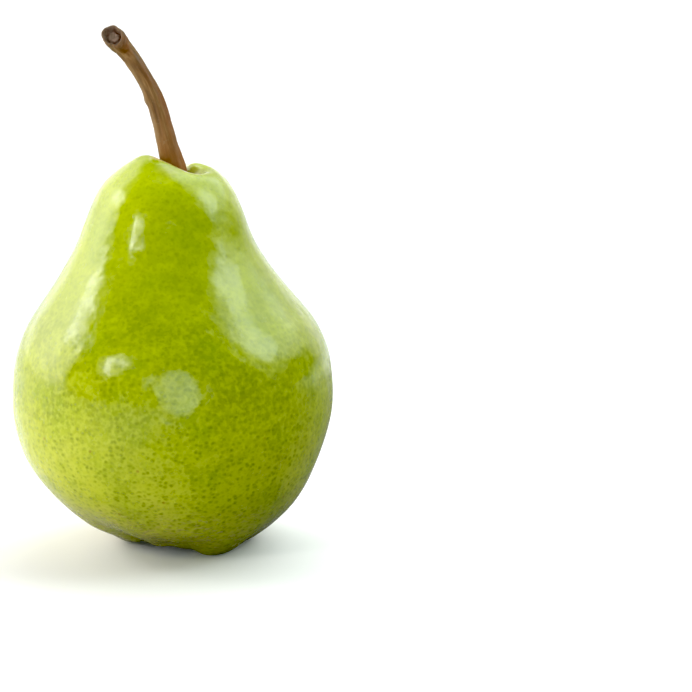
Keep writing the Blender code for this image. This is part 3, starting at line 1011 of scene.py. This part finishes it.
# Lights: azimuth and elevation in degrees, distance, width and height in metres, how far each is rolled in
# degrees, radiance and colour
LIGHTS = (
    ("front_window", -81, 13, 1.2, 0.60, 0.68, 26, 4.2, (0.80, 1.0, 1.0)),
    ("front_left_lamp", -126, 33.5, 1.0, 0.22, 0.07, 0, 14.0, (1.0, 1.0, 1.0)),
    ("front_left_strip", -134, 26, 1.0, 0.07, 0.26, 0, 26.0, (1.0, 1.0, 1.0)),
    ("left_lamp", 178, 36, 0.95, 0.32, 0.20, 0, 7.2, (1.0, 1.0, 1.0)),
    ("right_lamp", 0, 38, 0.95, 0.34, 0.36, 15, 4.4, (0.86, 1.0, 0.96)),
    ("front_fill", -131, 6, 1.1, 0.90, 0.50, 0, 2.0, (1.0, 1.0, 1.0)),
)
UNREFLECTED = "front_fill"  # the light that leaves no glint on the skin
LIGHTS_CENTRE = Vector((0.0, 0.0, 50 * MM))


def towards(azimuth, elevation):
    """The direction at an azimuth and an elevation in degrees."""
    azimuth = math.radians(azimuth)
    elevation = math.radians(elevation)
    level = math.cos(elevation)
    return Vector((level * math.cos(azimuth), level * math.sin(azimuth), math.sin(elevation)))


def make_lights():
    for name, azimuth, elevation, distance, width, height, roll, radiance, tint in LIGHTS:
        out = towards(azimuth, elevation)
        light = bpy.data.lights.new(name, "AREA")
        light.shape = "RECTANGLE"
        light.size = width
        light.size_y = height
        light.energy = radiance * math.pi * width * height
        light.color = tint
        obj = bpy.data.objects.new(name, light)
        obj.location = LIGHTS_CENTRE + out * distance
        turned = Quaternion(out, math.radians(roll)) @ out.to_track_quat("Z", "Y")
        obj.rotation_euler = turned.to_euler()
        obj.visible_glossy = name != UNREFLECTED
        bpy.context.scene.collection.objects.link(obj)


def make_camera():
    data = bpy.data.cameras.new("camera")
    data.lens = CAMERA_LENS
    data.sensor_width = SENSOR_WIDTH
    data.clip_start, data.clip_end = CAMERA_CLIP
    camera = bpy.data.objects.new("camera", data)
    forward = Vector((0.0, math.cos(CAMERA_ELEVATION), -math.sin(CAMERA_ELEVATION)))
    aim = Vector((AIM_RIGHT, 0.0, AIM_HEIGHT))
    camera.location = aim - forward * CAMERA_DISTANCE
    camera.rotation_euler = (math.pi / 2 - CAMERA_ELEVATION, 0.0, 0.0)
    bpy.context.scene.collection.objects.link(camera)
    bpy.context.scene.camera = camera


def develop():
    """Plain colours, with the blacks drawn down a little, as a printed studio photograph has them."""
    settings = bpy.context.scene.view_settings
    settings.view_transform = "Standard"
    settings.use_curve_mapping = True
    settings.curve_mapping.black_level = BLACK_LEVEL
    settings.curve_mapping.update()


def off_centre(fruit):
    """How far the fruit has to move to be as centred as its node, whose box is centred on the origin."""
    low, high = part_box("fruit")
    xs = [vertex.co.x for vertex in fruit.data.vertices]
    ys = [vertex.co.y for vertex in fruit.data.vertices]
    across = (low.x + high.x - min(xs) - max(xs)) / 2
    deep = (low.y + high.y - min(ys) - max(ys)) / 2
    return Vector((across, deep, 0.0))


def main():
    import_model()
    bark = bark_material()
    dried = calyx_material()
    fruit = make_fruit(skin_material())
    shift = off_centre(fruit)
    fruit.data.transform(Matrix.Translation(shift))
    stem = make_stem(bark, shift)
    calyx = make_calyx(dried, shift)
    stamens = make_stamens(dried, shift)
    slots = ((fruit, "pear_skin"), (stem, "stem_bark"), (calyx, "dried_calyx"), (stamens, "dried_calyx"))
    for obj, slot in slots:
        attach(obj, "root")
    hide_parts("fruit")
    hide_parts("stem")
    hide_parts("calyx")
    make_floor()
    make_world()
    make_lights()
    make_camera()
    develop()


main()
